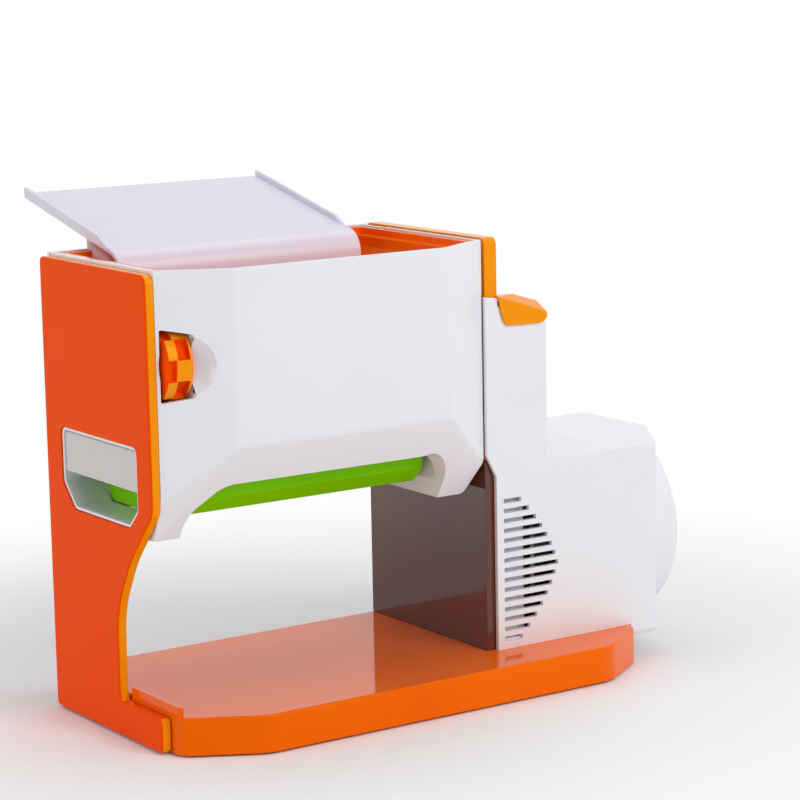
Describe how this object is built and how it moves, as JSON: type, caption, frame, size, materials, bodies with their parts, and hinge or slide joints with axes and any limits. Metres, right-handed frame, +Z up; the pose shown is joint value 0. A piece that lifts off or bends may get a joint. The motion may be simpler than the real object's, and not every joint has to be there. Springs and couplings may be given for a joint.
{
  "type": "electric pasta maker",
  "caption": "Electric pasta maker: sheet rollers and a pull-out noodle cutter between end plates, with a thickness dial, feed tray and geared motor housing.",
  "frame": {"origin": "bottom centre of the bounding box, on the table under the feet", "axes": "+X along the rollers towards the motor, -Y the front where the noodles come out, +Z up"},
  "size_m": [0.334, 0.207, 0.27],
  "materials": {
    "orange_plastic": "glossy",
    "white_plastic": "glossy",
    "black_panel": "high gloss",
    "green_plastic": "glossy",
    "tray_plastic": "satin",
    "roller_steel": "polished",
    "frame_steel": "satin",
    "gear_nylon": "satin",
    "bush_bronze": "satin",
    "gearbox_alloy": "cast",
    "black_plastic": "satin",
    "foot_rubber": "matte"
  },
  "bodies": {
    "body": {"base_plate": "orange_plastic", "rubber_feet": "foot_rubber", "base_screws": "frame_steel", "left_end_plate": "orange_plastic", "right_end_plate": "orange_plastic", "side_panel": "black_panel", "front_cover": "white_plastic", "rear_cover": "white_plastic", "window_liner": "white_plastic", "hopper": "orange_plastic", "left_side_frame": "frame_steel", "right_side_frame": "frame_steel", "tie_rods": "frame_steel", "roller_bushes": "bush_bronze", "scrapers": "frame_steel", "cassette_rails": "white_plastic", "drive_housing": "white_plastic", "motor_end_cap": "white_plastic", "gear_plate": "frame_steel", "gear_pins": "frame_steel", "motor": "frame_steel", "gearbox": "gearbox_alloy", "power_switch": "black_plastic", "power_inlet": "black_plastic"},
    "tray": {"feed_tray": "tray_plastic"},
    "dial": {"thickness_dial": "orange_plastic", "dial_shaft": "frame_steel", "gap_cams": "frame_steel"},
    "gap_slider": {"bearing_blocks": "bush_bronze"},
    "front_roller_body": {"front_roller": "roller_steel", "front_roller_gear": "gear_nylon"},
    "rear_roller_body": {"rear_roller": "roller_steel", "rear_roller_gears": "gear_nylon"},
    "idler": {"idler_gear": "gear_nylon"},
    "upper_gear_body": {"upper_gear": "gear_nylon"},
    "lower_gear_body": {"lower_gear": "gear_nylon"},
    "motor_shaft": {"motor_pinion": "frame_steel"},
    "cassette": {"cutter_cassette": "green_plastic", "pull_handle": "white_plastic", "cassette_bushes": "bush_bronze", "cutter_combs": "frame_steel"},
    "rear_cutter_body": {"rear_cutter": "roller_steel", "rear_cutter_gear": "gear_nylon"},
    "front_cutter_body": {"front_cutter": "roller_steel", "front_cutter_gear": "gear_nylon"},
    "key": {"power_key": "orange_plastic"}
  },
  "joints": [
    {"name": "tray_lift", "type": "slide", "parent": "body", "child": "tray", "axis": [0, 0, 1], "range_m": [0, 0.06]},
    {"name": "dial_turn", "type": "hinge", "parent": "body", "child": "dial", "pos_m": [-0.151, -0.05815, 0.1945], "axis": [1, 0, 0], "range_deg": [0, 270]},
    {"name": "gap_slide", "type": "slide", "parent": "body", "child": "gap_slider", "axis": [0, -1, 0], "range_m": [0, 0.0025]},
    {"name": "front_roller_turn", "type": "hinge", "parent": "gap_slider", "child": "front_roller_body", "pos_m": [-0.0695, -0.02644, 0.188], "axis": [1, 0, 0], "continuous": true},
    {"name": "rear_roller_turn", "type": "hinge", "parent": "body", "child": "rear_roller_body", "pos_m": [-0.0695, 0.00385, 0.188], "axis": [1, 0, 0], "continuous": true},
    {"name": "idler_turn", "type": "hinge", "parent": "body", "child": "idler", "pos_m": [0.015, 0.00043, 0.16059], "axis": [1, 0, 0], "continuous": true},
    {"name": "upper_gear_turn", "type": "hinge", "parent": "body", "child": "upper_gear_body", "pos_m": [0.05, -0.00299, 0.1496], "axis": [1, 0, 0], "continuous": true},
    {"name": "lower_gear_turn", "type": "hinge", "parent": "body", "child": "lower_gear_body", "pos_m": [0.055, -0.02222, 0.11567], "axis": [1, 0, 0], "continuous": true},
    {"name": "motor_turn", "type": "hinge", "parent": "body", "child": "motor_shaft", "pos_m": [0.061, -0.01755, 0.0679], "axis": [1, 0, 0], "continuous": true},
    {"name": "cassette_pull", "type": "slide", "parent": "body", "child": "cassette", "axis": [-1, 0, 0], "range_m": [0, 0.19]},
    {"name": "rear_cutter_turn", "type": "hinge", "parent": "cassette", "child": "rear_cutter_body", "pos_m": [-0.0695, 0.00186, 0.133], "axis": [1, 0, 0], "continuous": true},
    {"name": "front_cutter_turn", "type": "hinge", "parent": "cassette", "child": "front_cutter_body", "pos_m": [-0.0695, -0.02414, 0.133], "axis": [1, 0, 0], "continuous": true},
    {"name": "key_press", "type": "slide", "parent": "body", "child": "key", "axis": [0, 0, -1], "range_m": [0, 0.002], "stiffness_N_per_m": 400, "springref_m": -0.002}
  ],
  "couplings": [
    {"joint": "dial_turn", "follows": "gap_slide", "rad_per_m": 1885},
    {"joint": "front_roller_turn", "follows": "rear_roller_turn", "ratio": -1},
    {"joint": "idler_turn", "follows": "rear_roller_turn", "ratio": -0.88889},
    {"joint": "rear_cutter_turn", "follows": "rear_roller_turn", "ratio": 1},
    {"joint": "front_cutter_turn", "follows": "rear_roller_turn", "ratio": -1},
    {"joint": "upper_gear_turn", "follows": "rear_roller_turn", "ratio": -0.625},
    {"joint": "lower_gear_turn", "follows": "rear_roller_turn", "ratio": 1},
    {"joint": "motor_turn", "follows": "rear_roller_turn", "ratio": -3}
  ]
}
